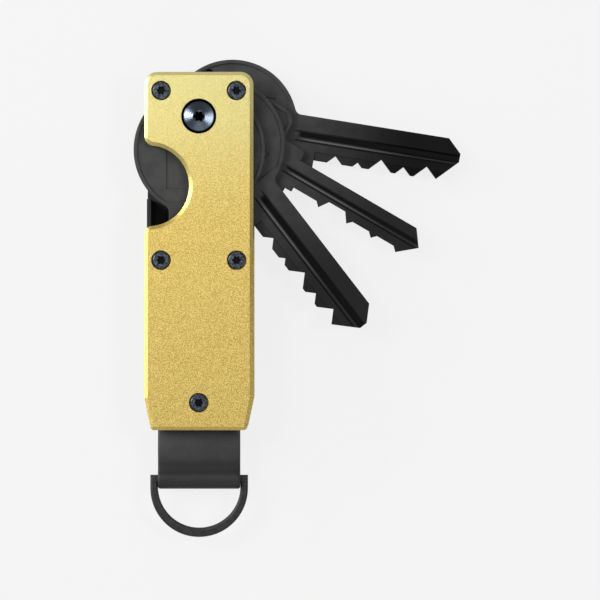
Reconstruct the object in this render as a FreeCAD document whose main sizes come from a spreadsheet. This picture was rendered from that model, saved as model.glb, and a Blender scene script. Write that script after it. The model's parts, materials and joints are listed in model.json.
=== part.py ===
import FreeCAD, Part
import math
import os
import re
import Sketcher

# Key organiser: two covers and two liners stacked on a key pivot, a spine on the left side,
# four keys that swing out on the right, and a strap with a D-ring at the tail.
#
# Frame: +Z is the front cover's outward normal, +Y points to the pivot end and +X to the side
# on which the keys swing out.  The origin is the middle of the back cover's outer face.
# Every length is in millimetres.

DIMENSIONS = (
    ("cover_length", 75.0, "covers, tail to pivot end"),
    ("cover_width", 22.8, "covers, side to side"),
    ("cover_thickness", 1.6, "each aluminium cover"),
    ("cover_bevel", 0.75, "bevel round the outer face of a cover"),
    ("corner_radius", 2.7, "pivot end corners of a cover"),
    ("tail_corner_radius", 0.8, "tail corners of a cover, rounder than its bevel"),
    ("tail_width", 20.0, "covers at the tail edge"),
    ("tail_taper", 6.7, "length of the tapered tail corners"),
    ("notch_x", -10.5, "thumb notch centre"),
    ("notch_y", 13.67, "thumb notch centre"),
    ("notch_radius", 8.45, "thumb notch"),
    ("notch_upper_round", 2.0, "notch mouth, pivot side"),
    ("notch_lower_round", 1.5, "notch mouth, tail side"),
    ("liner_thickness", 1.0, "each steel liner"),
    ("liner_inset", 0.4, "liners stand back from the cover edge, except on the spine's side"),
    ("notch_inset", 0.25, "the liner's notch is this much wider than the cover's"),
    ("key_thickness", 2.0, "key blank"),
    ("key_play", 0.025, "clearance on each face of a key"),
    ("washer_thickness", 0.25, "washer beside each key"),
    ("washer_diameter", 9.0, "washer beside each key"),
    ("pivot_y", 28.2, "pivot axis"),
    ("barrel_diameter", 5.0, "pivot barrel"),
    ("pivot_play", 0.05, "radial running clearance on the barrel"),
    ("pivot_head_diameter", 7.05, "pivot screw and barrel heads"),
    ("pivot_hole_diameter", 7.35, "hole in a cover round a pivot head"),
    ("pivot_thread_diameter", 3.5, "thread between pivot screw and barrel"),
    ("pivot_recess", 0.05, "pivot heads lie this far below a cover's face"),
    ("pivot_rim", 0.35, "bevel round the pivot screw's head"),
    ("pivot_thread_gap", 0.6, "the pivot screw ends this far short of the back liner"),
    ("barrel_floor", 1.5, "solid end of the barrel, below its head"),
    ("small_chamfer", 0.15, "broken edges of the turned parts"),
    ("spring_washer_height", 0.3, "spring washer under the pivot screw's head"),
    ("spring_diameter", 6.5, "spring washer"),
    ("spring_crown_diameter", 5.6, "top of the spring washer"),
    ("spring_bore", 4.2, "spring washer"),
    ("spring_sheet", 0.12, "sheet of the spring washer"),
    ("pivot_socket_radius", 1.15, "six-lobe socket of the pivot screw"),
    ("pivot_socket_depth", 1.2, "sockets of the pivot screw and the barrel"),
    ("dish_depth", 0.55, "conical dish in the pivot screw's head"),
    ("screw_head_diameter", 3.9, "small screws"),
    ("screw_head_height", 1.05, "small screws"),
    ("screw_edge_round", 0.4, "rounded rim of a small screw's head"),
    ("screw_socket_radius", 0.95, "six-lobe socket of a small screw"),
    ("counterbore_diameter", 4.15, "seat of a small screw"),
    ("counterbore_depth", 1.1, "seat of a small screw"),
    ("screw_diameter", 2.0, "thread of the small screws"),
    ("thread_play", 0.01, "radial clearance on the threads"),
    ("screw_clearance", 0.1, "radial clearance of a screw in a cover"),
    ("short_shank", 1.45, "short screw, below its head"),
    ("long_shank", 5.2, "long screw, below its head"),
    ("top_screw_x", 7.87, "pair of screws at the pivot end"),
    ("top_screw_y", 33.55, "pair of screws at the pivot end"),
    ("middle_screw_x", 7.9, "pair of screws below the notch"),
    ("middle_screw_y", -1.92, "pair of screws below the notch"),
    ("tail_screw_y", -31.71, "single screw at the tail"),
    ("standoff_diameter", 3.6, "threaded standoffs"),
    ("spine_thickness", 0.8, "wall of the spine"),
    ("spine_top", 10.95, "pivot end of the spine"),
    ("spine_boss_radius", 2.5, "boss round the spine's standoff"),
    ("tail_spacer_top", -28.45, "inner end of the tail spacers"),
    ("tail_gap", 0.4, "tail spacers stand back from the tail edge"),
    ("spacer_gap", 0.1, "tail spacers stand clear of the spine"),
    ("strap_width", 17.4, "strap"),
    ("strap_x", -0.2, "the strap and ring sit a little to the left in their slot"),
    ("strap_ply", 1.15, "one ply of the strap"),
    ("strap_end_gap", 0.5, "the strap ends this far inside the spacers"),
    ("strap_loop_bore", 1.0, "radius of the loop round the ring's bar"),
    ("strap_loop_fillet", 3.0, "where the plies part above the loop"),
    ("ring_bar_y", -48.1, "axis of the ring's straight bar"),
    ("ring_section", 1.6, "width of the ring's bar and legs"),
    ("ring_thickness", 1.7, "ring, along Z"),
    ("ring_width", 20.68, "ring, side to side"),
    ("ring_toe", 1.95, "width of the ring at the bottom of its arc"),
    ("ring_leg", 1.2, "straight part of the ring's legs below the bar"),
    ("ring_round", 0.55, "rounded edges of the ring"),
    ("bow_radius", 13.83, "round bow of keys 1, 3 and 4"),
    ("bow_centre", 6.85, "bow centre from the pivot"),
    ("bow_rim", 0.7, "raised rim of a bow"),
    ("bow_recess", 0.25, "depth of the field inside the rim"),
    ("field_end", 18.1, "blade end of the field"),
    ("panel_start", 5.3, "pivot end of the panel"),
    ("panel_end", 15.1, "blade end of the plain panel in the field"),
    ("panel_half_width", 7.0, "plain panel in the field"),
    ("panel_recess", 0.16, "depth of the panel below the field"),
    ("land_diameter", 9.4, "raised land round the pivot hole"),
    ("edge_bevel", 0.15, "bevel round a key"),
    ("dimple_x", 0.3, "small dimple in the first key's bow"),
    ("dimple_y", 9.9, "small dimple in the first key's bow"),
    ("dimple_radius", 1.0, "small dimple in the first key's bow"),
    ("dimple_depth", 1.3, "small dimple in the first key's bow"),
    ("blade_back", 4.43, "straight back edge of a round-bow key, from the pivot line"),
    ("blade_cut_edge", 4.76, "uncut toothed edge, from the pivot line"),
    ("blade_neck", 6.4, "neck on the toothed side, from the pivot line"),
    ("blade_shoulder", 25.1, "stop shoulder, from the pivot"),
    ("blade_length", 55.82, "tip, from the pivot"),
    ("tip_top", 1.5, "upper corner of the blunt tip"),
    ("tip_bottom", 0.25, "lower corner of the blunt tip, below the pivot line"),
    ("first_cut", 29.6, "first cut, from the pivot"),
    ("cut_pitch", 4.9, "spacing of the cuts"),
    ("root_fillet", 1.5, "fillets between bow and blade"),
    ("square_bow_end", 17.45, "blade end of the square bow"),
    ("square_bow_half", 10.95, "half the width of the square bow"),
    ("square_bow_round", 2.7, "rounded corners of the square bow"),
    ("square_bow_waist", 5.5, "the square bow narrows from here to its far end"),
    ("square_bow_far", 6.4, "far end of the square bow, behind the pivot"),
    ("square_bow_far_half", 5.6, "half the width of the far end"),
    ("square_field_corner", 1.6, "cut corners of the square bow's field"),
    ("slim_back", 3.03, "back edge of the slim blade"),
    ("slim_cut_edge", 3.6, "uncut edge of the slim blade"),
    ("slim_shallow_cut", 2.62, "edge left by a shallow cut"),
    ("slim_deep_cut", 1.5, "edge left by the deep cut"),
    ("slim_neck", 5.2, "half the neck of the slim blade"),
    ("slim_shoulder", 22.9, "stop shoulder of the slim blade"),
    ("slim_step", 24.45, "end of the uncut edge behind the first cut"),
    ("slim_first_peak", 31.05, "peaks left between the slim blade's cuts, from the pivot"),
    ("slim_second_peak", 37.95, "second peak"),
    ("slim_third_peak", 43.95, "third peak"),
    ("slim_last_peak", 50.0, "last peak"),
    ("slim_deep_slope", 0.7, "run of a deep cut's flank over its rise"),
    ("slim_length", 53.84, "tip of the slim blade"),
    ("slim_tip_y", 0.38, "tip, below the pivot line"),
    ("slim_tip_back", 51.33, "where the back edge turns to the tip"),
    ("slim_fillet", 0.85, "fillets at the slim blade's neck"),
    ("groove_depth", 0.6, "main milled groove of a blade"),
    ("groove_top", 1.2, "upper edge of the round-bow keys' groove"),
    ("groove_bottom", -0.88, "lower edge of the round-bow keys' groove"),
    ("slim_groove_top", 0.9, "upper edge of the slim blade's groove"),
    ("slim_groove_bottom", -0.5, "lower edge of the slim blade's groove"),
    ("groove_wall", 0.35, "run of the groove's steep upper wall"),
    ("groove_slope", 0.75, "run of the groove's sloped lower wall"),
    ("side_groove_lip", 0.08, "the ridge beside the groove is this far below the face"),
    ("side_groove_depth", 0.36, "narrow groove beside the main one"),
    ("side_groove_wall", 0.12, "run of the narrow groove's upper wall"),
    ("side_groove_floor", 0.3, "width of the narrow groove's floor"),
    ("thin_edge_start", 3.0, "the toothed edge slopes off from here"),
    ("thin_edge_step", 0.12, "step where the toothed edge slopes off"),
    ("thin_edge_depth", 0.62, "depth of the slope past the teeth"),
    ("thin_edge_end", 5.2, "just past the teeth"),
    ("groove_start", 21.9, "full depth of a groove begins here"),
    ("cutter_radius", 4.0, "milling cutter that leaves a groove's run-out"),
)

# How far each key is turned clockwise from +X, with the key nearest the back cover first.
KEY_ANGLES = (9.09, 30.2, 52.4, 90.0)

# Depths of the five V cuts of a round-bow key, in even steps.
CUT_DEPTHS = (1.6, 1.0, 2.4, 1.6, 2.5)

# Levels in the stack, as expressions on the dimensions.
SLOT = "(key_thickness + 2 * key_play + washer_thickness)"
BAY = f"({len(KEY_ANGLES)} * {SLOT} + washer_thickness)"
BAY_FLOOR = "(cover_thickness + liner_thickness)"
BAY_ROOF = f"({BAY_FLOOR} + {BAY})"
TOTAL = f"({BAY_ROOF} + {BAY_FLOOR})"
MIDDLE = f"({TOTAL} / 2)"
PIVOT_HEAD = "(cover_thickness - pivot_recess)"

# Turns a sub-part that is drawn with its outer face up into one of the back cover's side.
FLIP = (FreeCAD.Vector(0, 1, 0), 180)

doc = FreeCAD.newDocument("key_organiser")
nodes = []


# ---------------------------------------------------------------- shared helpers

def make_sheet():
    sheet = doc.addObject("Spreadsheet::Sheet", "Dims")
    for row, (alias, size, note) in enumerate(DIMENSIONS, start=1):
        sheet.set(f"A{row}", note)
        sheet.set(f"B{row}", str(size))
        sheet.setAlias(f"B{row}", alias)
    doc.recompute()
    return sheet


def formula(text):
    """Put the sheet's name before each of its aliases."""
    return re.sub(r"[a-z_]\w*", lambda word: prefixed(word.group()), str(text))


def prefixed(word):
    return f"Dims.{word}" if word in ALIASES else word


def value(text):
    """The number that an expression on the sheet stands for."""
    return float(sheet.evalExpression(formula(text)))


def bind(thing, **sizes):
    """Bind properties of a document object to expressions on the sheet."""
    for name, text in sizes.items():
        thing.setExpression(name, formula(text))


def place(thing, x="0", y="0", z="0", turn=None):
    """Place a sub-part; turn is an axis and an angle in degrees."""
    if turn:
        thing.Placement = FreeCAD.Placement(FreeCAD.Vector(), FreeCAD.Rotation(*turn))
    for axis, text in zip("xyz", (x, y, z)):
        thing.setExpression(f"Placement.Base.{axis}", f"({formula(text)}) * 1 mm")


def keep(thing, label):
    """Count an object as a sub-part of its own, under this name."""
    thing.Label = label
    nodes.append(thing)
    return thing


def new_body(name):
    return doc.addObject("PartDesign::Body", name)


def origin_feature(body, role):
    return next(item for item in body.Origin.OriginFeatures if item.Role == role)


def new_sketch(body, height="0", plane="XY_Plane", turned=0):
    """A sketch on one of the body's own planes, lifted along the plane's normal."""
    sketch = body.newObject("Sketcher::SketchObject", "Sketch")
    sketch.AttachmentSupport = [(origin_feature(body, plane), "")]
    sketch.MapMode = "FlatFace"
    sketch.AttachmentOffset = FreeCAD.Placement(
        FreeCAD.Vector(), FreeCAD.Rotation(FreeCAD.Vector(0, 0, 1), turned))
    sketch.setExpression("AttachmentOffset.Base.z", f"({formula(height)}) * 1 mm")
    return sketch


def pin_point(sketch, edge, end, x=None, y=None):
    """Hold one end of an edge, or its centre as end 3, at a place given by expressions."""
    for kind, text in (("DistanceX", x), ("DistanceY", y)):
        if text is not None:
            constraint = sketch.addConstraint(
                Sketcher.Constraint(kind, -1, 1, edge, end, value(text)))
            sketch.setExpression(f"Constraints[{constraint}]", formula(text))


def draw_polygon(sketch, corners):
    """Straight edges through corners, each a pair of expressions."""
    first = sketch.GeometryCount
    spots = [FreeCAD.Vector(value(x), value(y), 0) for x, y in corners]
    for here, there in zip(spots, spots[1:] + spots[:1]):
        sketch.addGeometry(Part.LineSegment(here, there), False)
    for index, (x, y) in enumerate(corners):
        following = first + (index + 1) % len(corners)
        sketch.addConstraint(Sketcher.Constraint("Coincident", first + index, 2, following, 1))
        pin_point(sketch, first + index, 1, x, y)


def draw_circle(sketch, x, y, radius):
    middle = FreeCAD.Vector(value(x), value(y), 0)
    edge = sketch.addGeometry(
        Part.Circle(middle, FreeCAD.Vector(0, 0, 1), value(radius)), False)
    pin_point(sketch, edge, 3, x, y)
    constraint = sketch.addConstraint(Sketcher.Constraint("Radius", edge, value(radius)))
    sketch.setExpression(f"Constraints[{constraint}]", formula(radius))


def pad(body, sketch, length, middle=False):
    feature = body.newObject("PartDesign::Pad", "Pad")
    feature.Profile = sketch
    feature.SideType = "Symmetric" if middle else "One side"
    bind(feature, Length=length)
    doc.recompute()
    return feature


def pocket(body, sketch, depth=None):
    """Cut down from the sketch, or right through both ways when no depth is given."""
    before = body.Shape.Volume
    feature = body.newObject("PartDesign::Pocket", "Pocket")
    feature.Profile = sketch
    if depth is None:
        feature.SideType = "Symmetric"
        feature.Type = "ThroughAll"
    else:
        bind(feature, Length=depth)
    doc.recompute()
    if not body.Shape.Volume < before:
        raise RuntimeError(f"{body.Label}: {feature.Name} cuts nothing")
    return feature


def revolve(body, sketch):
    feature = body.newObject("PartDesign::Revolution", "Revolution")
    feature.Profile = sketch
    feature.ReferenceAxis = (sketch, ["V_Axis"])
    feature.Angle = 360
    doc.recompute()
    return feature


def edges_at(body, spots, tolerance=0.6):
    """Names of the edges along Z that pass close to the given (x, y) places."""
    names = []
    for number, edge in enumerate(body.Shape.Edges, start=1):
        ends = [vertex.Point for vertex in edge.Vertexes]
        if len(ends) != 2 or math.hypot(ends[0].x - ends[1].x, ends[0].y - ends[1].y) > 1e-6:
            continue
        if any(math.hypot(ends[0].x - x, ends[0].y - y) < tolerance for x, y in spots):
            names.append(f"Edge{number}")
    return names


def dress(body, kind, names, **size):
    """A Fillet or Chamfer on named edges or faces of the body so far."""
    base = body.Tip
    feature = body.newObject(f"PartDesign::{kind}", kind)
    feature.Base = (base, names)
    bind(feature, **size)
    doc.recompute()
    if "Invalid" in feature.State or not body.Shape.isValid():
        raise RuntimeError(f"{body.Label}: {feature.Name} failed on {names}")


def round_corners(body, radius, *spots):
    """Fillet the upright edges at places given as pairs of expressions."""
    names = edges_at(body, [(value(x), value(y)) for x, y in spots])
    if len(names) != len(spots):
        raise RuntimeError(f"{body.Label}: {len(names)} edges found for {len(spots)} corners")
    dress(body, "Fillet", names, Radius=radius)


def bevel_faces(body, size, *levels):
    """Bevel every edge of the flat faces at these heights."""
    heights = [value(level) for level in levels]
    names = []
    for number, face in enumerate(body.Shape.Faces, start=1):
        box = face.BoundBox
        if box.ZLength < 1e-6 and any(abs(box.ZMin - height) < 1e-4 for height in heights):
            names.append(f"Face{number}")
    dress(body, "Chamfer", names, Size=size)


LOBE_CORE = 0.78
LOBE_RADIUS = 0.24


def cut_six_lobes(body, radius, top, depth):
    """A six-lobe socket: a round core and six round lobes."""
    core = new_sketch(body, top)
    draw_circle(core, "0", "0", f"{radius} * {LOBE_CORE}")
    pocket(body, core, depth)
    lobe = new_sketch(body, top)
    draw_circle(lobe, f"{radius} * {1 - LOBE_RADIUS}", "0", f"{radius} * {LOBE_RADIUS}")
    cut = pocket(body, lobe, depth)
    pattern = body.newObject("PartDesign::PolarPattern", "PolarPattern")
    pattern.Originals = [cut]
    pattern.Axis = (origin_feature(body, "Z_Axis"), [""])
    pattern.Angle = 360
    pattern.Occurrences = 6
    body.Tip = pattern
    doc.recompute()


def cylinder(name, radius, height, z="0"):
    solid = doc.addObject("Part::Cylinder", name)
    bind(solid, Radius=radius, Height=height)
    place(solid, z=z)
    return solid


def box(name, length, width, height):
    """A box with its origin at its lowest corner."""
    solid = doc.addObject("Part::Box", name)
    bind(solid, Length=length, Width=width, Height=height)
    return solid


def cut(name, base, tool):
    result = doc.addObject("Part::Cut", name)
    result.Base = base
    result.Tool = tool
    return result


def fuse(name, *shapes):
    result = doc.addObject("Part::MultiFuse", name)
    result.Shapes = list(shapes)
    return result


def tube(name, outer, inner, height, z="0"):
    """A plain ring about Z; outer and inner are radii."""
    return cut(name, cylinder(f"{name}_outside", outer, height, z),
               cylinder(f"{name}_bore", inner, height, z))


def group(label, solids):
    """Several identical solids that share one node."""
    compound = doc.addObject("Part::Compound", label)
    compound.Links = solids
    return keep(compound, label)


# ---------------------------------------------------------------- covers and liners

SCREWS = {
    "top_left": ("-top_screw_x", "top_screw_y"),
    "top_right": ("top_screw_x", "top_screw_y"),
    "middle_left": ("-middle_screw_x", "middle_screw_y"),
    "middle_right": ("middle_screw_x", "middle_screw_y"),
    "tail": ("0", "tail_screw_y"),
}
SHORT_SCREWS = ("top_left", "top_right", "middle_right")
LONG_SCREWS = ("middle_left", "tail")


def plate_outline(sketch, inset):
    """A rectangle with tapered tail corners; its left side is never inset."""
    left = "(cover_width / 2)"
    side = f"(cover_width / 2 - {inset})"
    tail = f"(tail_width / 2 - {inset})"
    low = f"(-cover_length / 2 + {inset})"
    high = f"(cover_length / 2 - {inset})"
    shoulder = "(-cover_length / 2 + tail_taper)"
    draw_polygon(sketch, [(f"-{tail}", low), (tail, low), (side, shoulder), (side, high),
                          (f"-{left}", high), (f"-{left}", shoulder)])
    return left, side, tail, low, high


def notch_mouth(left, radius, sign):
    """Where the notch's circle meets the left edge."""
    reach = f"sqrt({radius} ^ 2 - ({left} + notch_x) ^ 2)"
    return f"-{left}", f"notch_y {sign} {reach}"


def make_plate(body, thickness, inset, notched, notch_growth="0"):
    """The blank that covers and liners share: outline, rounded corners and thumb notch."""
    outline = new_sketch(body)
    left, side, tail, low, high = plate_outline(outline, inset)
    pad(body, outline, thickness)
    round_corners(body, f"corner_radius - {inset}", (side, high), (f"-{left}", high))
    round_corners(body, "tail_corner_radius", (tail, low), (f"-{tail}", low))
    if notched:
        radius = f"(notch_radius + {notch_growth})"
        notch = new_sketch(body)
        draw_circle(notch, "notch_x", "notch_y", radius)
        pocket(body, notch)
        round_corners(body, "notch_upper_round", notch_mouth(left, radius, "+"))
        round_corners(body, "notch_lower_round", notch_mouth(left, radius, "-"))


def drill(body, radius, spots, height="0", depth=None):
    holes = new_sketch(body, height)
    for x, y in spots:
        draw_circle(holes, x, y, radius)
    pocket(body, holes, depth)


def make_cover(label, notched):
    """A cover, with its outer face up; each screw seats in a counterbore."""
    body = new_body(label)
    make_plate(body, "cover_thickness", "0", notched)
    bevel_faces(body, "cover_bevel", "cover_thickness")
    drill(body, "counterbore_diameter / 2", SCREWS.values(), "cover_thickness", "counterbore_depth")
    drill(body, "screw_diameter / 2 + screw_clearance", SCREWS.values())
    drill(body, "pivot_hole_diameter / 2", [("0", "pivot_y")])
    return keep(body, label)


def make_liner(label, notched):
    """A liner, tapped for the small screws."""
    body = new_body(label)
    make_plate(body, "liner_thickness", "liner_inset", notched, "notch_inset")
    drill(body, "screw_diameter / 2 + thread_play", SCREWS.values())
    drill(body, "barrel_diameter / 2 + thread_play", [("0", "pivot_y")])
    return keep(body, label)


def build_shells():
    place(make_cover("front_cover", notched=True), z=f"{TOTAL} - cover_thickness")
    place(make_cover("back_cover", notched=False), z="cover_thickness", turn=FLIP)
    place(make_liner("front_liner", notched=True), z=BAY_ROOF)
    place(make_liner("back_liner", notched=False), z="cover_thickness")


# ---------------------------------------------------------------- screws and pivot

def turned_part(name, profile):
    """A solid of revolution about Z from (radius, height) pairs."""
    body = new_body(name)
    sketch = new_sketch(body, plane="XZ_Plane")
    draw_polygon(sketch, profile)
    revolve(body, sketch)
    return body


def make_screw(name, shank):
    """A small screw, head up, with the underside of its head at height 0."""
    head = "screw_head_diameter / 2"
    rim = "screw_head_height - screw_edge_round"
    thread = "screw_diameter / 2"
    body = turned_part(name, [
        ("0", f"-{shank}"), (f"{thread} - small_chamfer", f"-{shank}"),
        (thread, f"-{shank} + small_chamfer"), (thread, "0"), (head, "0"), (head, rim),
        (f"{head} - 0.3 * screw_edge_round", "screw_head_height - 0.45 * screw_edge_round"),
        (f"{head} - screw_edge_round", "screw_head_height"), ("0", "screw_head_height")])
    cut_six_lobes(body, "screw_socket_radius", "screw_head_height", "screw_head_height * 0.8")
    return body


def build_screws():
    """Five screws in each cover, in two lengths."""
    for cover, level, turn in (("front", f"{TOTAL} - counterbore_depth", None),
                               ("back", "counterbore_depth", FLIP)):
        for kind, shank, names in (("short", "short_shank", SHORT_SCREWS),
                                   ("long", "long_shank", LONG_SCREWS)):
            screws = []
            for name in names:
                x, y = SCREWS[name]
                screw = make_screw(f"{cover}_{name}_screw", shank)
                place(screw, x=x, y=y, z=level, turn=turn)
                screws.append(screw)
            group(f"{cover}_{kind}_screws", screws)


def build_pivot():
    """A barrel from the back and a dished screw from the front clamp the two liners."""
    head = "pivot_head_diameter / 2"
    thread = "pivot_thread_diameter / 2"
    barrel = "barrel_diameter / 2"
    shank = f"({BAY} - pivot_thread_gap)"
    top = f"({PIVOT_HEAD} - spring_washer_height)"
    mouth = "(pivot_socket_radius + small_chamfer)"

    screw = turned_part("pivot_screw", [
        ("0", f"-{shank}"), (f"{thread} - small_chamfer", f"-{shank}"),
        (thread, f"-{shank} + small_chamfer"), (thread, "0"), (f"{head} - small_chamfer", "0"),
        (head, "small_chamfer"), (head, f"{top} - pivot_rim"), (f"{head} - pivot_rim", top),
        (mouth, f"{top} - dish_depth"), ("0", f"{top} - dish_depth")])
    cut_six_lobes(screw, "pivot_socket_radius", f"{top} - dish_depth", "pivot_socket_depth")
    place(keep(screw, "pivot_screw"), y="pivot_y",
          z=f"{BAY_ROOF} + liner_thickness + spring_washer_height")

    bore = f"{thread} + thread_play"
    length = f"({BAY} + 2 * liner_thickness)"
    barrel_part = turned_part("pivot_barrel", [
        ("0", PIVOT_HEAD), (f"{head} - small_chamfer", PIVOT_HEAD),
        (head, f"{PIVOT_HEAD} - small_chamfer"), (head, "0"), (barrel, "0"),
        (barrel, f"-{length}"), (bore, f"-{length}"), (bore, "-barrel_floor"),
        ("0", "-barrel_floor")])
    cut_six_lobes(barrel_part, "pivot_socket_radius", PIVOT_HEAD, "pivot_socket_depth")
    place(keep(barrel_part, "pivot_barrel"), y="pivot_y", z="cover_thickness", turn=FLIP)
    build_spring_washer()


def build_spring_washer():
    """A coned washer under the pivot screw's head."""
    foot, crown = "spring_diameter / 2", "spring_crown_diameter / 2"
    cone = doc.addObject("Part::Cone", "spring_cone")
    bind(cone, Radius1=foot, Radius2=crown, Height="spring_washer_height")
    hollow = doc.addObject("Part::Cone", "spring_hollow")
    bind(hollow, Radius1=f"{foot} - spring_sheet", Radius2=f"{crown} - spring_sheet",
         Height="spring_washer_height - spring_sheet")
    dish = cut("spring_dish", cone, hollow)
    hole = cylinder("spring_hole", "spring_bore / 2", "2 * spring_washer_height")
    washer = cut("spring_washer", dish, hole)
    place(keep(washer, "spring_washer"), y="pivot_y", z=f"{BAY_ROOF} + liner_thickness")


def build_washers():
    """A thin washer on each side of every key."""
    washers = []
    for index in range(len(KEY_ANGLES) + 1):
        ring = tube(f"washer_{index + 1}", "washer_diameter / 2",
                    "barrel_diameter / 2 + pivot_play", "washer_thickness")
        place(ring, y="pivot_y", z=f"{BAY_FLOOR} + {index} * {SLOT}")
        washers.append(ring)
    group("key_washers", washers)


# ---------------------------------------------------------------- spine, tail and strap

def build_spine():
    """The wall down the closed side, with a boss for the left middle screws."""
    body = new_body("spine")
    side = "(cover_width / 2 - liner_inset)"
    inner = f"({side} - spine_thickness)"
    shoulder = "(-cover_length / 2 + tail_taper)"
    sketch = new_sketch(body)
    draw_polygon(sketch, [(f"-{side}", shoulder), (f"-{inner}", shoulder),
                          (f"-{inner}", "spine_top"), (f"-{side}", "spine_top")])
    pad(body, sketch, BAY)
    boss = new_sketch(body)
    draw_circle(boss, "-middle_screw_x", "middle_screw_y", "spine_boss_radius")
    pad(body, boss, BAY)
    drill(body, "standoff_diameter / 2", [SCREWS["middle_left"]])
    keep(body, "spine")
    place(body, z=BAY_FLOOR)


def make_standoff(label, spot):
    post = tube(label, "standoff_diameter / 2", "screw_diameter / 2 + thread_play", BAY)
    place(keep(post, label), x=spot[0], y=spot[1], z=BAY_FLOOR)


def make_tail_spacer(label, z):
    """A block with the tail's tapered outline, bored for the tail standoff."""
    body = new_body(label)
    low = "(-cover_length / 2 + tail_gap)"
    shoulder = "(-cover_length / 2 + tail_taper)"
    wide = "(cover_width / 2 - liner_inset - spine_thickness - spacer_gap)"
    narrow = "(tail_width / 2 - liner_inset)"
    sketch = new_sketch(body)
    draw_polygon(sketch, [(f"-{narrow}", low), (narrow, low), (wide, shoulder),
                          (wide, "tail_spacer_top"), (f"-{wide}", "tail_spacer_top"),
                          (f"-{wide}", shoulder)])
    pad(body, sketch, f"{BAY} / 2 - strap_ply")
    drill(body, "standoff_diameter / 2", [SCREWS["tail"]])
    place(keep(body, label), z=z)


def build_tail():
    make_standoff("spine_standoff", SCREWS["middle_left"])
    make_standoff("tail_standoff", SCREWS["tail"])
    make_tail_spacer("back_tail_spacer", BAY_FLOOR)
    make_tail_spacer("front_tail_spacer", f"{MIDDLE} + strap_ply")


def build_strap():
    """Two plies from the tail spacers, and a loop round the ring's bar."""
    loop = "(strap_loop_bore + strap_ply)"
    across = "strap_width"
    left = f"(strap_x - {across} / 2)"
    plies = box("strap_plies", across, "tail_spacer_top - ring_bar_y - strap_end_gap", "2 * strap_ply")
    place(plies, x=left, y="ring_bar_y", z="-strap_ply")
    roll = cylinder("strap_roll", loop, across)
    place(roll, x=left, y="ring_bar_y", turn=(FreeCAD.Vector(0, 1, 0), 90))
    whole = fuse("strap_whole", plies, roll)
    doc.recompute()
    creases = [number for number, edge in enumerate(whole.Shape.Edges, start=1)
               if edge.BoundBox.XLength > value(across) - 0.01
               and abs(abs(edge.BoundBox.ZMax) - value("strap_ply")) < 0.01
               and edge.BoundBox.YMax < value("ring_bar_y + 2 * strap_ply")]
    eased = doc.addObject("Part::Fillet", "strap_eased")
    eased.Base = whole
    radius = value("strap_loop_fillet")
    eased.Edges = [(number, radius, radius) for number in creases]
    bar_hole = cylinder("strap_bar_hole", "strap_loop_bore", f"{across} + 2")
    place(bar_hole, x=f"{left} - 1", y="ring_bar_y", turn=(FreeCAD.Vector(0, 1, 0), 90))
    looped = cut("strap_looped", eased, bar_hole)
    post_hole = cylinder("strap_post_hole", "standoff_diameter / 2", "4 * strap_ply")
    place(post_hole, y="tail_screw_y", z="-2 * strap_ply")
    strap = cut("strap", looped, post_hole)
    place(keep(strap, "strap"), z=MIDDLE)


def draw_d(sketch, half, top, straight):
    """A D: a straight top and legs, and a half circle below, all about the bar's middle."""
    spots = [FreeCAD.Vector(sign * value(half), value(level), 0)
             for sign, level in ((1, straight), (1, top), (-1, top), (-1, straight))]
    for here, there in zip(spots, spots[1:]):
        sketch.addGeometry(Part.LineSegment(here, there), False)
    first = sketch.GeometryCount - 3
    circle = Part.Circle(FreeCAD.Vector(0, value(straight), 0), FreeCAD.Vector(0, 0, 1), value(half))
    arc = sketch.addGeometry(Part.ArcOfCircle(circle, math.pi, 2 * math.pi), False)
    joins = ((first, 2, first + 1, 1), (first + 1, 2, first + 2, 1),
             (first + 2, 2, arc, 1), (arc, 2, first, 1))
    for join in joins:
        sketch.addConstraint(Sketcher.Constraint("Coincident", *join))
    pin_point(sketch, first + 1, 1, half, top)
    pin_point(sketch, first + 1, 2, f"-{half}", top)
    pin_point(sketch, first, 1, half, straight)
    pin_point(sketch, arc, 1, f"-{half}", straight)
    pin_point(sketch, arc, 3, y=straight)


def build_ring():
    """The D-ring, modelled about the axis of its bar."""
    outer = "(ring_width / 2)"
    inner = "(ring_width / 2 - ring_section)"
    leg = "(-ring_leg - ring_section / 2)"
    body = new_body("d_ring")
    outside = new_sketch(body)
    draw_d(outside, outer, "ring_section / 2", leg)
    pad(body, outside, "ring_thickness", middle=True)
    inside = new_sketch(body)
    draw_d(inside, inner, "-ring_section / 2", f"{leg} - {outer} + ring_toe + {inner}")
    pocket(body, inside)
    edges = [f"Edge{number}" for number, edge in enumerate(body.Shape.Edges, start=1)
             if edge.BoundBox.ZLength < 1e-6]
    dress(body, "Fillet", edges, Radius="ring_round")
    place(keep(body, "d_ring"), x="strap_x", y="ring_bar_y", z=MIDDLE)


# ---------------------------------------------------------------- keys
# A key is drawn in its own frame: X runs from the pivot to the tip, +Y is the back edge's
# side, and Z = 0 is the middle of its thickness.

# More than the cutter turns before it is clear of the face.
RUNOUT_TURN = 60
HALF_KEY = "(key_thickness / 2)"
FIELD = "(key_thickness / 2 - bow_recess)"


def round_bow(body):
    sketch = new_sketch(body)
    draw_circle(sketch, "bow_centre", "0", "bow_radius")
    pad(body, sketch, "key_thickness", middle=True)


def meeting_x(level):
    """Where the round bow crosses a line parallel to the blade."""
    return f"bow_centre + sqrt(bow_radius ^ 2 - {level} ^ 2)"


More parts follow.
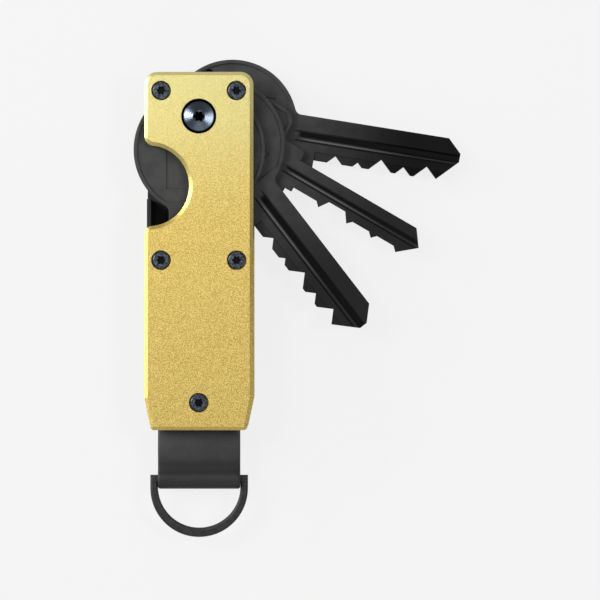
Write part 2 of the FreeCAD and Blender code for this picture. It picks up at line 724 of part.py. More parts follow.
def v_cut_blade(body):
    """The blade of a round-bow key: five V cuts with 45 degree flanks and a blunt tip."""
    edge = "blade_cut_edge"
    corners = [("bow_centre", "blade_back"), ("bow_centre", "-blade_neck"),
               ("blade_shoulder", "-blade_neck"), ("blade_shoulder", f"-{edge}")]
    for index, depth in enumerate(CUT_DEPTHS):
        middle = f"(first_cut + {index} * cut_pitch)"
        last = index == len(CUT_DEPTHS) - 1
        corners.append((f"{middle} - {depth}", f"-{edge}"))
        corners.append((middle, f"-{edge} + {depth}"))
        if not last:
            corners.append((f"{middle} + {depth}", f"-{edge}"))
    # The last cut's outer flank meets the 45 degree slope of the tip.
    flank = f"({middle} + {depth} - {edge})"
    slope = "(blade_length + tip_bottom)"
    corners.append((f"({flank} + {slope}) / 2", f"({flank} - {slope}) / 2"))
    corners += [("blade_length", "-tip_bottom"), ("blade_length", "tip_top"),
                ("blade_length - (blade_back - tip_top)", "blade_back")]
    sketch = new_sketch(body)
    draw_polygon(sketch, corners)
    pad(body, sketch, "key_thickness", middle=True)
    round_corners(body, "root_fillet", (meeting_x("blade_back"), "blade_back"))
    round_corners(body, "root_fillet", (meeting_x("blade_neck"), "-blade_neck"))


def square_bow(body):
    """Square towards the blade, with its far corners cut back, and well rounded."""
    end, half = "square_bow_end", "square_bow_half"
    corners = [(end, f"-{half}"), (end, half), ("square_bow_waist", half),
               ("-square_bow_far", "square_bow_far_half"),
               ("-square_bow_far", "-square_bow_far_half"), ("square_bow_waist", f"-{half}")]
    sketch = new_sketch(body)
    draw_polygon(sketch, corners)
    pad(body, sketch, "key_thickness", middle=True)
    for corner in corners:
        round_corners(body, "square_bow_round", corner)


def slim_flank(cut):
    """How far along the blade the flank of a cut runs."""
    slope = "slim_deep_slope * " if cut == "slim_deep_cut" else ""
    return f"{slope}(slim_cut_edge - {cut})"


def slim_blade(body):
    """The blade of the square-bow key: flat-bottomed cuts that leave small peaks."""
    shallow, deep, edge = "slim_shallow_cut", "slim_deep_cut", "slim_cut_edge"
    corners = [("bow_centre", "slim_neck"), ("bow_centre", "-slim_neck"),
               ("slim_shoulder", "-slim_neck"), ("slim_shoulder", f"-{edge}"),
               ("slim_step", f"-{edge}"), ("slim_step", f"-{shallow}")]
    for peak, before, after in (("slim_first_peak", shallow, deep),
                                ("slim_second_peak", deep, shallow),
                                ("slim_third_peak", shallow, shallow),
                                ("slim_last_peak", shallow, None)):
        corners.append((f"{peak} - {slim_flank(before)}", f"-{before}"))
        corners.append((peak, f"-{edge}"))
        if after:
            corners.append((f"{peak} + {slim_flank(after)}", f"-{after}"))
    corners += [("slim_length", "-slim_tip_y"), ("slim_tip_back", "slim_back"),
                ("slim_shoulder", "slim_back"), ("slim_shoulder", "slim_neck")]
    sketch = new_sketch(body)
    draw_polygon(sketch, corners)
    pad(body, sketch, "key_thickness", middle=True)
    for side in ("", "-"):
        round_corners(body, "slim_fillet", ("square_bow_end", f"{side}slim_neck"))
        round_corners(body, "slim_fillet", ("slim_shoulder", f"{side}slim_neck"))


def sloped(cut):
    """Give a shallow pocket walls at 45 degrees."""
    cut.TaperAngle = -45
    doc.recompute()
    return cut


def sink_field(body, draw_field):
    """Lower the face inside the rim, except for a land round the pivot hole."""
    sketch = new_sketch(body, HALF_KEY)
    draw_field(sketch)
    draw_circle(sketch, "0", "0", "land_diameter / 2")
    field = sloped(pocket(body, sketch, "bow_recess"))
    panel = new_sketch(body, FIELD)
    draw_polygon(panel, [("panel_end", "panel_half_width"), ("panel_end", "-panel_half_width"),
                         ("panel_start", "-panel_half_width"),
                         ("panel_start", "panel_half_width")])
    return [field, sloped(pocket(body, panel, "panel_recess"))]


def round_field(sketch):
    """The round bow's field: a circle that a straight line closes at the blade."""
    radius = "(bow_radius - bow_rim)"
    reach = f"sqrt({radius} ^ 2 - (field_end - bow_centre) ^ 2)"
    top = FreeCAD.Vector(value("field_end"), value(reach), 0)
    low = FreeCAD.Vector(value("field_end"), -value(reach), 0)
    half_angle = math.atan2(value(reach), value("field_end - bow_centre"))
    circle = Part.Circle(FreeCAD.Vector(value("bow_centre"), 0, 0), FreeCAD.Vector(0, 0, 1),
                         value(radius))
    line = sketch.addGeometry(Part.LineSegment(low, top), False)
    arc = sketch.addGeometry(Part.ArcOfCircle(circle, half_angle, 2 * math.pi - half_angle), False)
    sketch.addConstraint(Sketcher.Constraint("Coincident", line, 2, arc, 1))
    sketch.addConstraint(Sketcher.Constraint("Coincident", line, 1, arc, 2))
    pin_point(sketch, arc, 3, "bow_centre", "0")
    pin_point(sketch, line, 1, x="field_end")
    pin_point(sketch, line, 2, x="field_end")
    constraint = sketch.addConstraint(Sketcher.Constraint("Radius", arc, value(radius)))
    sketch.setExpression(f"Constraints[{constraint}]", formula(radius))


def square_field(sketch):
    end = "(square_bow_end - bow_rim)"
    half = "(square_bow_half - bow_rim)"
    far = "(square_bow_far - bow_rim)"
    far_half = "(square_bow_far_half - bow_rim / 2)"
    corner = "square_field_corner"
    draw_polygon(sketch, [
        (end, f"-{half} + {corner}"), (end, f"{half} - {corner}"), (f"{end} - {corner}", half),
        ("square_bow_waist", half), (f"-{far}", far_half), (f"-{far}", f"-{far_half}"),
        ("square_bow_waist", f"-{half}"), (f"{end} - {corner}", f"-{half}")])


def groove_profile(sketch, top, bottom):
    """The section of the milled grooves: one wide and one narrow, side by side.

    The sketch lies across the blade: its X is the key's Y, and its Y is the key's Z.
    """
    above = f"(2 * {HALF_KEY})"
    floor = f"({HALF_KEY} - groove_depth)"
    side_floor = f"({HALF_KEY} - side_groove_depth)"
    side_top = f"({bottom} - side_groove_wall)"
    side_bottom = f"({side_top} - side_groove_floor)"
    draw_polygon(sketch, [
        (top, above), (top, HALF_KEY), (f"{top} - groove_wall", floor),
        (f"{bottom} + groove_slope", floor), (bottom, f"{HALF_KEY} - side_groove_lip"),
        (side_top, side_floor), (side_bottom, side_floor),
        (f"{side_bottom} - side_groove_wall", above)])


def mill_grooves(body, top, bottom, length):
    """Grooves along the blade, ended towards the bow by the round cutter's run-out."""
    along = new_sketch(body, "groove_start", plane="YZ_Plane")
    groove_profile(along, top, bottom)
    straight = body.newObject("PartDesign::Pocket", "Pocket")
    straight.Profile = along
    straight.Reversed = True
    bind(straight, Length=f"{length} - groove_start + 1")
    doc.recompute()

    across = new_sketch(body, "groove_start", plane="YZ_Plane")
    groove_profile(across, top, bottom)
    height = f"({HALF_KEY} + cutter_radius)"
    ends = [FreeCAD.Vector(sign * value("blade_neck"), value(height), 0) for sign in (-1, 1)]
    axle = across.addGeometry(Part.LineSegment(*ends), True)
    pin_point(across, axle, 1, "-blade_neck", height)
    pin_point(across, axle, 2, "blade_neck", height)
    runout = body.newObject("PartDesign::Groove", "Groove")
    runout.Profile = across
    runout.ReferenceAxis = (across, ["Axis0"])
    runout.Angle = RUNOUT_TURN
    doc.recompute()
    return [straight, runout]


def thin_cut_edge(body):
    """The toothed edge is milled thinner beyond the shoulder."""
    sketch = new_sketch(body, "blade_shoulder", plane="YZ_Plane")
    above = f"(2 * {HALF_KEY})"
    draw_polygon(sketch, [("-thin_edge_start", above),
                          ("-thin_edge_start", f"{HALF_KEY} - thin_edge_step"),
                          ("-thin_edge_end", f"{HALF_KEY} - thin_edge_depth"),
                          ("-thin_edge_end", above)])
    bevel = body.newObject("PartDesign::Pocket", "Pocket")
    bevel.Profile = sketch
    bevel.Reversed = True
    bind(bevel, Length="blade_length - blade_shoulder + 1")
    doc.recompute()
    return [bevel]


def mirror_faces(body, features):
    """Repeat the cuts of the front face on the back face."""
    mirrored = body.newObject("PartDesign::Mirrored", "Mirrored")
    mirrored.Originals = features
    mirrored.MirrorPlane = (origin_feature(body, "XY_Plane"), [""])
    body.Tip = mirrored
    doc.recompute()


def make_key(number, angle):
    """One key; the second from the back has the square bow and the slim blade."""
    label = f"key_{number}"
    body = new_body(label)
    square = number == 2
    if square:
        square_bow(body)
        slim_blade(body)
    else:
        round_bow(body)
        v_cut_blade(body)
    bevel_faces(body, "edge_bevel", HALF_KEY, f"-{HALF_KEY}")
    if square:
        cuts = sink_field(body, square_field)
        cuts += mill_grooves(body, "slim_groove_top", "slim_groove_bottom", "slim_length")
    else:
        cuts = sink_field(body, round_field)
        cuts += mill_grooves(body, "groove_top", "groove_bottom", "blade_length")
        cuts += thin_cut_edge(body)
    mirror_faces(body, cuts)
    drill(body, "barrel_diameter / 2 + pivot_play", [("0", "0")])
    if number == 1:
        drill(body, "dimple_radius", [("dimple_x", "dimple_y")], HALF_KEY, "dimple_depth")
    level = f"{BAY_FLOOR} + {number - 1} * {SLOT} + washer_thickness + key_play + {HALF_KEY}"
    place(keep(body, label), y="pivot_y", z=level, turn=(FreeCAD.Vector(0, 0, 1), -angle))


def build_keys():
    for number, angle in enumerate(KEY_ANGLES, start=1):
        make_key(number, angle)


# ---------------------------------------------------------------- check and write

def check_document():
    doc.recompute()
    for thing in doc.Objects:
        if "Invalid" in thing.State or "Error" in thing.State:
            raise RuntimeError(f"{thing.Label}: {thing.State}")
    for thing in nodes:
        shape = thing.Shape
        if shape.isNull() or not shape.isValid() or shape.Volume <= 0:
            raise RuntimeError(f"{thing.Label}: bad shape")


def write_parts():
    os.makedirs("parts", exist_ok=True)
    for thing in nodes:
        thing.Shape.exportStep(f"parts/{thing.Label}.step")
        extent = thing.Shape.BoundBox
        print(f"{thing.Label:20s} {len(thing.Shape.Solids)} solids {thing.Shape.Volume:9.2f} mm3"
              f"  {extent.XMin:7.2f}..{extent.XMax:7.2f}  {extent.YMin:7.2f}..{extent.YMax:7.2f}"
              f"  {extent.ZMin:6.2f}..{extent.ZMax:6.2f}")


ALIASES = {alias for alias, size, note in DIMENSIONS}
sheet = make_sheet()
build_shells()
build_screws()
build_pivot()
build_washers()
build_spine()
build_tail()
build_strap()
build_ring()
build_keys()
check_document()
write_parts()
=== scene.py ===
import bpy
import json
import math
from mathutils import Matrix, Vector


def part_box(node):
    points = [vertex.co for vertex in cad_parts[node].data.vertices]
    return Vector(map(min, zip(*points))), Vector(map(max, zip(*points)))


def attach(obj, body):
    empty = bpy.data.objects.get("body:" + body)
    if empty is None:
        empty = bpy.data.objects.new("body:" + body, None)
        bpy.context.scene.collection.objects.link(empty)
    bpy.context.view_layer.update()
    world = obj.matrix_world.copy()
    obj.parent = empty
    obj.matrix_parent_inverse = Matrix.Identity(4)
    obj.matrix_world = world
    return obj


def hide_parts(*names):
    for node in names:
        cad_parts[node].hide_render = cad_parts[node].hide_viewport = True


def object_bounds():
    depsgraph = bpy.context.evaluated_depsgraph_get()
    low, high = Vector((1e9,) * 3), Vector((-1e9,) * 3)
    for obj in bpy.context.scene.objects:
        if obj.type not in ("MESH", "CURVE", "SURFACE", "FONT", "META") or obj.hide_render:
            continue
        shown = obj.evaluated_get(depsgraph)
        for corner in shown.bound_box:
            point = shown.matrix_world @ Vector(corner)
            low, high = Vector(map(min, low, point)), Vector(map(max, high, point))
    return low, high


# Key organiser on a plain pale floor.  The frame holds every hard part; this script gives them
# their looks, makes the strap, and sets the light and the camera.  Every length is in metres.

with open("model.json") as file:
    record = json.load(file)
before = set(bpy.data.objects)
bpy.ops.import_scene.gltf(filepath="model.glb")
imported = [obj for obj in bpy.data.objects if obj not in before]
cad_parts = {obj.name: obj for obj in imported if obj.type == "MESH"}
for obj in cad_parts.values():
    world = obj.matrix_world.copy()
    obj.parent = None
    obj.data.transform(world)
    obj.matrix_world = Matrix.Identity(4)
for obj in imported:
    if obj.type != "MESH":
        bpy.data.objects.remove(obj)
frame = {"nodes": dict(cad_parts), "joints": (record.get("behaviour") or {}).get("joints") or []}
cad_low, cad_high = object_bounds()

MM = 0.001


# Places that come from the frame.

def joint(name):
    """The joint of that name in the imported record."""
    return next(j for j in frame["joints"] if j["name"] == name)


def key_turn(key):
    """Angle from +X to the key's blade at rest.  The lower limit of its joint is the folded key."""
    return math.radians(-90 - joint(f"{key}_swing")["range_deg"][0])


KEYS = sorted(n for n in frame["nodes"] if n.startswith("key_") and n != "key_washers")
PIVOT = Vector(joint("key_1_swing")["pos_m"])
RING_BAR = Vector(joint("ring_swing")["pos_m"])
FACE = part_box("front_cover")[1].z
MIDDLE_Z = (cad_low.z + cad_high.z) / 2

# The milled groove of a blade, and how far the ridge beside it, where a highlight is painted, lies
# from the pivot's line.
GROOVE_DEPTH = 0.6 * MM
USUAL_RIDGE = -0.72 * MM
RIDGES = {"key_2": -0.34 * MM}

# The painted shade that a blade's colour goes to at its tip, which is darkest on one key.
USUAL_TIP_SHADE = "#1d1d1d"
TIP_SHADES = {"key_1": "#080808"}

# Which of a Mix node's sockets are its two colours and its mixed colour.
MIX_FIRST, MIX_SECOND, MIX_RESULT = 6, 7, 2


# Camera, floor and light.

def add_camera():
    """Looks straight down at the middle of the organiser, which nearly fills the picture."""
    height, field = 0.52, 0.1254
    right, down = 0.4 * MM, 0.5 * MM
    middle = (cad_low + cad_high) / 2
    data = bpy.data.cameras.new("camera")
    data.sensor_width = 36
    data.lens = data.sensor_width * height / field
    camera = bpy.data.objects.new("camera", data)
    camera.location = (middle.x + right, middle.y - down, FACE + height)
    bpy.context.scene.collection.objects.link(camera)
    bpy.context.scene.camera = camera


def add_floor():
    """A pale floor just under the organiser, which gives off a little light so shadows stay faint."""
    side, drop, glow = 3.0, 0.2 * MM, 0.915
    mesh = bpy.data.meshes.new("floor")
    corners = [(x, y, -drop) for x, y in ((-side, -side), (side, -side), (side, side), (-side, side))]
    mesh.from_pydata(corners, [], [(0, 1, 2, 3)])
    floor = bpy.data.objects.new("floor", mesh)
    bpy.context.scene.collection.objects.link(floor)
    look = Look("floor", "#505050", roughness=1.0, specular=0.0)
    look.shader.inputs["Emission Color"].default_value = linear("#f2f2f2")
    look.shader.inputs["Emission Strength"].default_value = glow
    look.put_on(floor)


def add_light(name, place, size, power):
    """A square softbox that faces the organiser, with its side in metres and its power in watts."""
    data = bpy.data.lights.new(name, "AREA")
    data.size = size
    data.energy = power
    light = bpy.data.objects.new(name, data)
    light.location = place
    light.rotation_mode = "QUATERNION"
    light.rotation_quaternion = (-Vector(place)).to_track_quat("-Z", "Y")
    bpy.context.scene.collection.objects.link(light)


def add_studio():
    """A dim white room with softboxes.

    Two look down on the organiser, one lies beyond each end, and a low one lights the left edges.
    """
    world = bpy.data.worlds.new("studio")
    world.use_nodes = True
    background = world.node_tree.nodes["Background"]
    background.inputs["Color"].default_value = (1, 1, 1, 1)
    background.inputs["Strength"].default_value = 0.31
    bpy.context.scene.world = world
    add_light("main", (-0.22, 0.10, 0.42), 0.16, 0.85)
    add_light("right", (0.24, 0.03, 0.46), 0.08, 0.70)
    add_light("top", (-0.02, 0.42, 0.34), 0.30, 0.35)
    add_light("tail", (0.06, -0.42, 0.30), 0.30, 0.45)
    add_light("low", (-1.45, 0.48, 0.32), 0.8, 31.0)
    bpy.context.scene.view_settings.view_transform = "Standard"


# Materials.

def linear(code):
    """The colour of a hex code, as the shader's linear numbers."""
    parts = [int(code[i:i + 2], 16) / 255 for i in (1, 3, 5)]
    return tuple(c / 12.92 if c <= 0.04045 else ((c + 0.055) / 1.055) ** 2.4 for c in parts) + (1.0,)


class Look:
    """A Principled material, and the procedural detail that feeds it."""

    def __init__(self, name, colour, metallic=0.0, roughness=0.5, specular=0.5):
        self.material = bpy.data.materials.new(name)
        self.material.use_nodes = True
        self.tree = self.material.node_tree
        self.shader = self.tree.nodes["Principled BSDF"]
        self.shader.inputs["Base Color"].default_value = linear(colour)
        self.shader.inputs["Metallic"].default_value = metallic
        self.shader.inputs["Roughness"].default_value = roughness
        self.shader.inputs["Specular IOR Level"].default_value = specular
        self.place = self.tree.nodes.new("ShaderNodeTexCoord").outputs["Object"]

    def put_on(self, *objects):
        """Makes this the only material of the objects."""
        for obj in objects:
            obj.data.materials.clear()
            obj.data.materials.append(self.material)

    def node(self, kind, **inputs):
        """A node with some of its inputs set or linked."""
        node = self.tree.nodes.new(kind)
        for name, value in inputs.items():
            self.feed(node.inputs[name.replace("_", " ")], value)
        return node

    def feed(self, socket, value):
        """Sets a socket to a value, or links it to another node's output."""
        if isinstance(value, bpy.types.NodeSocket):
            self.tree.links.new(value, socket)
        else:
            socket.default_value = value

    def about(self, point, turn=0.0):
        """Coordinates with their origin at point and +X turned to the angle."""
        mapping = self.node("ShaderNodeMapping", Vector=self.place, Location=point)
        mapping.inputs["Rotation"].default_value = (0, 0, turn)
        mapping.vector_type = "TEXTURE"
        return mapping.outputs["Vector"]

    def noise(self, size, detail=2.0, stretch=(1, 1, 1), at=None):
        """Noise from 0 to 1 whose blotches are about size across, longer along the stretched axes."""
        scale = tuple(1 / (size * s) for s in stretch)
        mapping = self.node("ShaderNodeMapping", Vector=at or self.place, Scale=scale)
        texture = self.node("ShaderNodeTexNoise", Vector=mapping.outputs["Vector"], Scale=1.0)
        texture.inputs["Detail"].default_value = detail
        return texture.outputs["Fac"]

    def grains(self, size):
        """Rounded cells of about the given size, from 0 in the middle of a cell to 1 at its edge."""
        scale = (1 / size,) * 3
        mapping = self.node("ShaderNodeMapping", Vector=self.place, Scale=scale)
        texture = self.node("ShaderNodeTexVoronoi", Vector=mapping.outputs["Vector"], Scale=1.0)
        texture.feature = "F1"
        return texture.outputs["Distance"]

    def ranged(self, value, low, high, start=0.3, end=0.7):
        """The value mapped from start..end to low..high, smoothly and without going past them."""
        node = self.node("ShaderNodeMapRange", Value=value)
        node.interpolation_type = "SMOOTHSTEP"
        node.inputs["From Min"].default_value = start
        node.inputs["From Max"].default_value = end
        node.inputs["To Min"].default_value = low
        node.inputs["To Max"].default_value = high
        return node.outputs["Result"]

    def height_from(self, level):
        """How far a point is above or below a level."""
        split = self.node("ShaderNodeSeparateXYZ", Vector=self.place)
        return self.distance(split.outputs["Z"], level)

    def crevices(self, distance):
        """From 0 in the open to 1 in a narrow corner of the piece itself.

        Only the piece's own surfaces count, so nothing stays marked by a neighbour that moves away.
        """
        occlusion = self.node("ShaderNodeAmbientOcclusion", Distance=distance)
        occlusion.only_local = True
        return self.math("SUBTRACT", 1, occlusion.outputs["AO"])

    def math(self, operation, a, b):
        """One arithmetic step."""
        node = self.tree.nodes.new("ShaderNodeMath")
        node.operation = operation
        self.feed(node.inputs[0], a)
        self.feed(node.inputs[1], b)
        return node.outputs[0]

    def distance(self, value, level):
        """How far a value is from a level, on either side of it."""
        return self.math("ABSOLUTE", self.math("SUBTRACT", value, level), 0)

    def blend(self, share, first, second):
        """A colour that goes from first to second as share goes from 0 to 1."""
        node = self.tree.nodes.new("ShaderNodeMix")
        node.data_type = "RGBA"
        self.feed(node.inputs["Factor"], share)
        self.feed(node.inputs[MIX_FIRST], linear(first) if isinstance(first, str) else first)
        self.feed(node.inputs[MIX_SECOND], linear(second) if isinstance(second, str) else second)
        return node.outputs[MIX_RESULT]

    def colour(self, value):
        self.feed(self.shader.inputs["Base Color"], value)

    def roughness(self, value):
        self.feed(self.shader.inputs["Roughness"], value)

    def relief(self, height, depth):
        """Bumps of the given depth, on top of any that were added before."""
        bump = self.node("ShaderNodeBump", Height=height, Distance=depth, Strength=1.0)
        before = self.shader.inputs["Normal"].links
        if before:
            self.tree.links.new(before[0].from_socket, bump.inputs["Normal"])
        self.tree.links.new(bump.outputs["Normal"], self.shader.inputs["Normal"])


def gold_look():
    """Bead-blasted aluminium, anodised pale gold: a fine grain, and a painted highlight that makes it
    paler and greener towards the pivot.
    """
    look = Look("gold_anodised", "#e0bf62", metallic=1.0, roughness=0.42)
    grain = look.noise(0.2 * MM, detail=4.0)
    tone = look.blend(look.ranged(grain, 0, 1, 0.35, 0.65), "#b89a48", "#e6ce7a")
    split = look.node("ShaderNodeSeparateXYZ", Vector=look.place)
    # Painted highlight: the face turns paler and greener towards the top, by the pivot.
    painted_top_highlight = look.ranged(split.outputs["Y"], 0, 0.55, 4 * MM, 36 * MM)
    look.colour(look.blend(painted_top_highlight, tone, "#d8d89a"))
    look.roughness(look.ranged(grain, 0.36, 0.50))
    look.shader.inputs["Coat Weight"].default_value = 0.35
    look.shader.inputs["Coat Roughness"].default_value = 0.4
    look.relief(grain, 0.03 * MM)
    return look


def black_plate_look():
    """Sheet steel with black oxide: rolled, with faint long streaks."""
    look = Look("black_oxide_plate", "#141414", metallic=0.3, roughness=0.45)
    streaks = look.noise(0.25 * MM, stretch=(1, 12, 1))
    look.colour(look.blend(look.ranged(streaks, 0, 1), "#0c0c0c", "#1c1c1d"))
    look.roughness(look.ranged(streaks, 0.38, 0.55))
    look.relief(look.noise(0.15 * MM), 0.01 * MM)
    return look


def screw_look():
    """Small button-head screws with black oxide, a little paler from wear on the high spots, and
    their sockets painted near black as shade.
    """
    look = Look("black_oxide_screw", "#26282b", metallic=0.7, roughness=0.32)
    wear = look.noise(0.35 * MM, detail=4.0)
    head = look.blend(look.ranged(wear, 0, 1, 0.4, 0.7), "#33383f", "#5c6670")
    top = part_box("front_short_screws")[1].z - MIDDLE_Z
    # Painted shade: the socket below the head's top goes near black.
    socket = look.ranged(look.height_from(MIDDLE_Z), 1, 0, top - 0.45 * MM, top - 0.25 * MM)
    look.colour(look.blend(socket, head, "#050505"))
    look.roughness(look.ranged(wear, 0.26, 0.42))
    look.relief(wear, 0.01 * MM)
    return look


def stretch_highlights(look, amount):
    """Stretches the highlights as fine rings round the Z axis do."""
    look.shader.inputs["Anisotropic"].default_value = amount
    tangent = look.tree.nodes.new("ShaderNodeTangent")
    tangent.direction_type = "RADIAL"
    tangent.axis = "Z"
    look.feed(look.shader.inputs["Tangent"], tangent.outputs["Tangent"])


def pivot_look():
    """Turned and polished black steel: fine rings left by the lathe round the pivot's axis, with
    painted shade near black on the head's outer edge and in its socket.
    """
    look = Look("turned_black", "#606468", metallic=1.0, roughness=0.2)
    stretch_highlights(look, 0.85)
    flat = look.node("ShaderNodeVectorMath", Vector=look.about(PIVOT))
    flat.operation = "MULTIPLY"
    flat.inputs[1].default_value = (1, 1, 0)
    radius = look.node("ShaderNodeVectorMath", Vector=flat.outputs["Vector"])
    radius.operation = "LENGTH"
    rings = look.node("ShaderNodeTexNoise", Scale=1.0)
    rings.noise_dimensions = "1D"
    look.feed(rings.inputs["W"], look.math("MULTIPLY", radius.outputs["Value"], 1 / (0.06 * MM)))
    tone = look.blend(look.ranged(rings.outputs["Fac"], 0, 1), "#3a414b", "#66707d")
    # Painted shade: the head's outer edge goes near black, for the shaded gap round the head.
    rim = look.ranged(radius.outputs["Value"], 0, 1, 2.9 * MM, 3.2 * MM)
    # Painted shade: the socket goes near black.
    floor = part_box("pivot_screw")[1].z - 0.65 * MM - MIDDLE_Z
    socket = look.ranged(look.height_from(MIDDLE_Z), 1, 0, floor - 0.1 * MM, floor)
    look.colour(look.blend(socket, look.blend(rim, tone, "#0c0c0e"), "#030303"))
    look.relief(rings.outputs["Fac"], 0.002 * MM)
    return look


def painted_ridge_highlight(look, key, along):
    """From 0 to 1 on the ridge beside a blade's main groove, where a highlight is painted, and less
    towards the tip.
    """
    split = look.node("ShaderNodeSeparateXYZ", Vector=along)
    offset = look.distance(split.outputs["Y"], RIDGES.get(key, USUAL_RIDGE))
    on_ridge = look.ranged(offset, 1, 0, 0.08 * MM, 0.3 * MM)
    begins = look.ranged(split.outputs["X"], 0, 1, 21 * MM, 24 * MM)
    fades = look.ranged(split.outputs["X"], 1, 0.15, 26 * MM, 48 * MM)
    return look.math("MULTIPLY", on_ridge, look.math("MULTIPLY", begins, fades))


def key_look(key):
    """Key blank with a satin black coating.

    Painted shade makes it darker towards the tip, in the milled grooves and in the corners of the
    bow, and a painted highlight makes it paler on the ridge beside the main groove.
    """
    low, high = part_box(key)
    look = Look(f"{key}_coating", "#2c2c2e", roughness=0.40, specular=0.08)
    along = look.about(PIVOT, key_turn(key))
    brushed = look.noise(0.12 * MM, stretch=(14, 1, 1), at=along)
    clouds = look.noise(2.5 * MM, detail=3.0)
    reach = look.node("ShaderNodeVectorMath", Vector=along)
    reach.operation = "LENGTH"

    coat = look.blend(look.ranged(clouds, 0, 1), "#3a3a3a", "#424242")
    # Painted shade: the colour darkens towards the tip.
    tip_shade = look.ranged(reach.outputs["Value"], 0, 1, 16 * MM, 46 * MM)
    face = look.blend(tip_shade, coat, TIP_SHADES.get(key, USUAL_TIP_SHADE))
    half = (high.z - low.z) / 2
    height = look.height_from((low.z + high.z) / 2)
    # Painted shade: the floors of the milled grooves go near black.
    milled = look.ranged(height, 1, 0, half - GROOVE_DEPTH, half - 0.75 * GROOVE_DEPTH)
    face = look.blend(milled, face, "#030303")

    # Painted highlight: a pale line on the ridge beside the main groove.
    ridge_highlight = look.math("MULTIPLY", painted_ridge_highlight(look, key, along), 0.8)
    face = look.blend(ridge_highlight, face, "#6e6e6e")
    # Painted shade: near black in the bow's own corners, found by ambient occlusion.
    corners = look.crevices(0.3 * MM)
    look.colour(look.blend(look.ranged(corners, 0, 0.8, 0.04, 0.3), face, "#040404"))
    look.roughness(look.ranged(brushed, 0.36, 0.55))
    look.relief(brushed, 0.006 * MM)
    look.relief(look.noise(0.1 * MM), 0.006 * MM)
    return look


def ring_look():
    """Cast ring with a thin black coating, slightly uneven."""
    look = Look("ring_coating", "#262628", roughness=0.5, specular=0.3)
    clouds = look.noise(1.2 * MM, detail=4.0)
    look.colour(look.blend(look.ranged(clouds, 0, 1), "#1c1c1d", "#29292b"))
    look.roughness(look.ranged(look.noise(0.3 * MM), 0.42, 0.58))
    look.relief(clouds, 0.02 * MM)
    return look


def plain_metal_look(name, dark, light):
    """Bare turned metal for the small parts between the liners."""
    look = Look(name, light, metallic=1.0, roughness=0.3)
    lines = look.noise(0.1 * MM, stretch=(6, 6, 1))
    look.colour(look.blend(look.ranged(lines, 0, 1), dark, light))
    look.roughness(look.ranged(lines, 0.25, 0.42))
    look.relief(lines, 0.004 * MM)
    return look


def strap_look():
    """Smooth black leather: pebbled grain, fine creases across the bend, darker towards the ring,
    with a painted shade in the dip above the loop.
    """
    look = Look("strap_leather", "#262626", roughness=0.55, specular=0.3)
    pebbles = look.grains(0.2 * MM)
    creases = look.noise(0.5 * MM, detail=4.0, stretch=(6, 1, 1))
    clouds = look.noise(4 * MM)
    tone = look.blend(look.ranged(clouds, 0, 1), "#343434", "#3a3a3a")
    tone = look.blend(look.ranged(pebbles, 0, 0.35, 0.3, 0.9), tone, "#1e1e1e")
    split = look.node("ShaderNodeSeparateXYZ", Vector=look.place)
    # The strap darkens towards the ring.
    towards_ring = look.ranged(split.outputs["Y"], 0.6, 0, RING_BAR.y + 1.8 * MM, RING_BAR.y + 6 * MM)
    # Painted shade: a dark band in the dip just above the loop.
    bend = look.distance(split.outputs["Y"], RING_BAR.y + 2.4 * MM)
    dip_shade = look.ranged(bend, 0.75, 0, 0.2 * MM, 2.2 * MM)
    tone = look.blend(towards_ring, tone, "#0c0c0c")
    look.colour(look.blend(dip_shade, tone, "#0c0c0c"))
    look.roughness(look.ranged(pebbles, 0.5, 0.62, 0.2, 0.8))
    look.relief(pebbles, -0.008 * MM)
    look.relief(creases, 0.012 * MM)
    return look


def dress_cad_nodes():
    """Gives each hard part of the frame its material."""
    plate, screw, turned = black_plate_look(), screw_look(), pivot_look()
    steel = plain_metal_look("bright_steel", "#8c8d90", "#b4b5b8")
    brass = plain_metal_look("brass_shim", "#9c7a3c", "#c9a45c")
    looks = {
        gold_look(): ("front_cover", "back_cover"),
        plate: ("front_liner", "back_liner", "spine", "back_tail_spacer", "front_tail_spacer"),
        screw: ("front_short_screws", "front_long_screws", "back_short_screws", "back_long_screws"),
        turned: ("pivot_screw", "pivot_barrel"),
        steel: ("spring_washer", "spine_standoff", "tail_standoff"),
        brass: ("key_washers",),
        ring_look(): ("d_ring",),
    }
    for look, names in looks.items():
        look.put_on(*(frame["nodes"][name] for name in names))
    for key in KEYS:
        key_look(key).put_on(frame["nodes"][key])


# The strap.

def arc(centre, radius, start, end, steps):
    """Points (y, z) of an arc, from one angle to another, without its first point."""
    angles = (start + (end - start) * i / steps for i in range(1, steps + 1))
    return [(centre[0] + radius * math.cos(a), centre[1] + radius * math.sin(a)) for a in angles]


def strap_path(top, mouth, ply):
    """The middle line of the strap in the YZ plane: down the front, round the bar and up the back.

    Between the mouth of the spacers and the loop the plies belly apart a little.
    """
    y, z = RING_BAR.y, RING_BAR.z
    bore, belly = 1.0 * MM, 0.45 * MM
    loop = bore + ply / 2
    fillet = 3.0 * MM + ply / 2
    rise = ply / 2 + fillet
    reach = math.sqrt((loop + fillet) ** 2 - rise ** 2)
    lean = math.atan2(rise, reach)
    run_steps, fillet_steps, loop_steps = 40, 10, 16
    pinch = y + reach
    front = []
    for i in range(run_steps + 1):
        place = top + (pinch - top) * i / run_steps
        share = min(max((mouth - place) / (mouth - pinch), 0), 1)
        front.append((place, z + ply / 2 + belly * math.sin(math.pi * share) ** 2))
    front += arc((y + reach, z + rise), fillet, -math.pi / 2, lean - math.pi, fillet_steps)
    front += arc((y, z), loop, lean, math.pi, loop_steps)
    back = [(py, 2 * z - pz) for py, pz in reversed(front[:-1])]
    return front + back


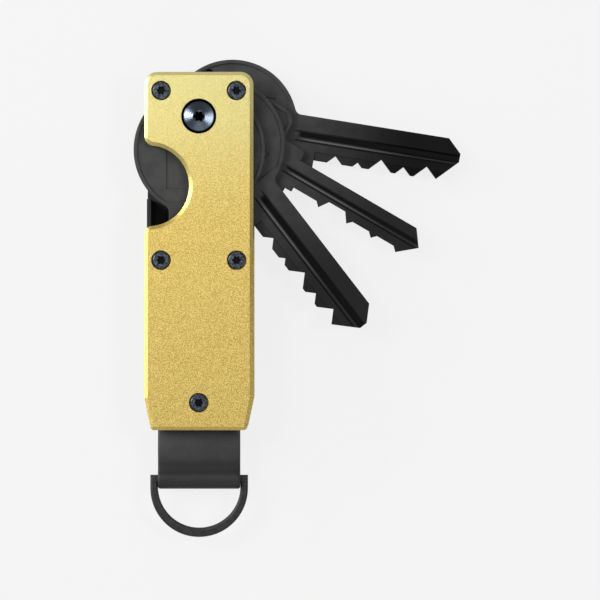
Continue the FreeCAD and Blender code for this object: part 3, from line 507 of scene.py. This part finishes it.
def strap_section(width, ply):
    """Points (x, offset) round the strap's section: flat faces and well rounded edges."""
    rounding = 0.42 * ply
    half_x, half_z = width / 2 - rounding, ply / 2 - rounding
    across, steps = 10, 5
    section = []
    for side in (1, -1):
        for quarter in range(2):
            corner = (side * half_x, half_z * side * (1 - 2 * quarter))
            first = math.pi / 2 * (1 - quarter) + (0 if side > 0 else math.pi)
            turns = (first - math.pi / 2 * i / steps for i in range(steps + 1))
            section += [(corner[0] + rounding * math.cos(a), corner[1] + rounding * math.sin(a))
                        for a in turns]
        end = section[-1]
        section += [(end[0] - side * 2 * half_x * i / across, end[1]) for i in range(1, across)]
    return section


def sweep(path, section, middle):
    """Vertices and faces of a section swept along a path in the YZ plane.

    Known fault: the long faces are wound inwards, and only the two end caps face outwards.
    """
    count = len(section)
    verts, faces = [], []
    for i, (y, z) in enumerate(path):
        before, after = path[max(i - 1, 0)], path[min(i + 1, len(path) - 1)]
        tangent = Vector((after[0] - before[0], after[1] - before[1])).normalized()
        out = Vector((tangent.y, -tangent.x))
        verts += [(middle + x, y + out.x * d, z + out.y * d) for x, d in section]
    for i in range(len(path) - 1):
        for j in range(count):
            a, b = i * count + j, i * count + (j + 1) % count
            faces.append((a, b, b + count, a + count))
    last = (len(path) - 1) * count
    faces.append(tuple(range(count)))
    faces.append(tuple(reversed(range(last, last + count))))
    return verts, faces


def make_strap():
    """A flat strap bent round the ring's bar, with both ends held between the tail spacers.

    Known fault: between the spacers the two plies touch with no gap.
    """
    low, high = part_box("strap")
    ply = 1.15 * MM
    width, middle = high.x - low.x, (high.x + low.x) / 2
    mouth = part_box("front_cover")[0].y
    verts, faces = sweep(strap_path(high.y, mouth, ply), strap_section(width, ply), middle)
    mesh = bpy.data.meshes.new("strap_leather")
    mesh.from_pydata(verts, [], faces)
    mesh.validate()
    strap = bpy.data.objects.new("strap_leather", mesh)
    bpy.context.scene.collection.objects.link(strap)
    mesh.shade_smooth()
    strap_look().put_on(strap)
    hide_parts("strap")
    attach(strap, "case")


add_camera()
add_floor()
add_studio()
dress_cad_nodes()
make_strap()
